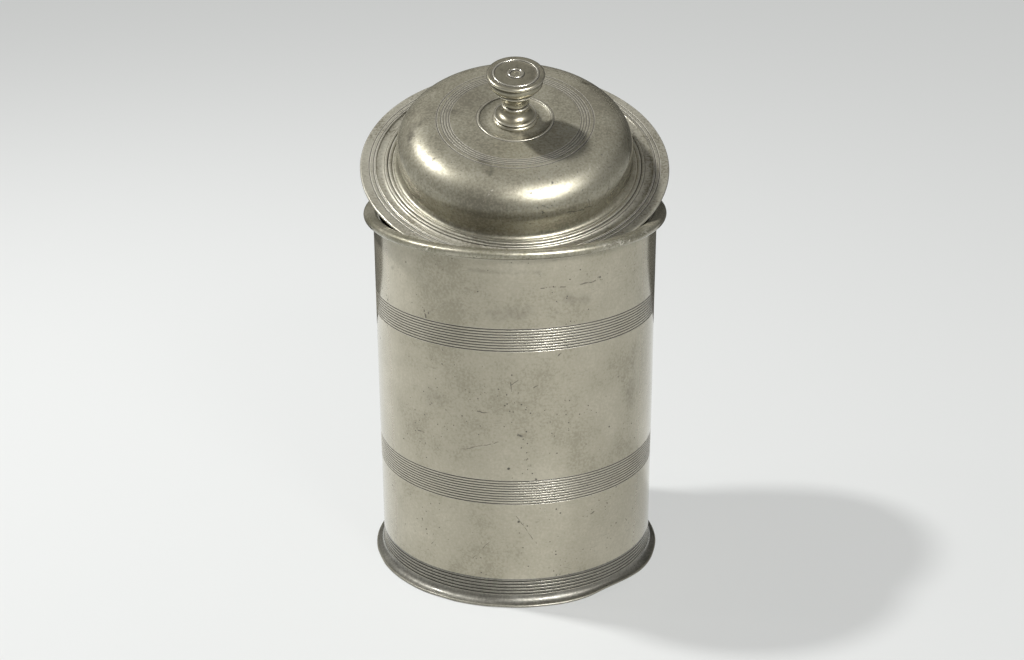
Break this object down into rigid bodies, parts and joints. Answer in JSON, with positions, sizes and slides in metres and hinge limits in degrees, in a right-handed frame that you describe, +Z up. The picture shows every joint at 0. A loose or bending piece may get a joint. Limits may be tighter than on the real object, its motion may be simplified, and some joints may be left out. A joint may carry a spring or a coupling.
{
  "type": "lidded metal canister",
  "caption": "Tall round pewter canister with reeded bands, rolled rim and flared foot, and a loose domed lid with a broad brim and turned knob set ajar in the mouth.",
  "frame": {"origin": "centre of the flat ring that the foot stands on", "axes": "+Z up along the canister's axis; the low front edge of the resting lid faces -Y"},
  "size_m": [0.1424, 0.1448, 0.2396],
  "materials": {
    "pewter_body": "satin aged pewter, mottled, pitted and lightly scratched",
    "pewter_foot": "darker handled pewter with grime in the reeding",
    "pewter_lid": "smoother, glossier pewter with small pits",
    "pewter_knob": "hand-polished pewter, bright on the beads",
    "pewter_inside": "dull oxidised pewter",
    "solder": "dull wiped solder"
  },
  "bodies": {
    "canister": {"drum_wall": "pewter_body", "rim_lip": "pewter_body", "rim_solder": "solder", "foot_ring": "pewter_foot", "foot_solder": "solder", "base_plate": "pewter_inside", "base_solder": "solder"},
    "lid": {"lid_brim": "pewter_lid", "lid_dome": "pewter_lid", "lid_collar": "pewter_inside", "collar_solder": "solder", "dome_solder": "solder", "knob": "pewter_knob", "knob_solder": "solder"}
  },
  "joints": [
    {"name": "lid_lift", "type": "slide", "parent": "canister", "child": "lid", "axis": [0, 0, 1], "range_m": [0, 0.1]}
  ]
}
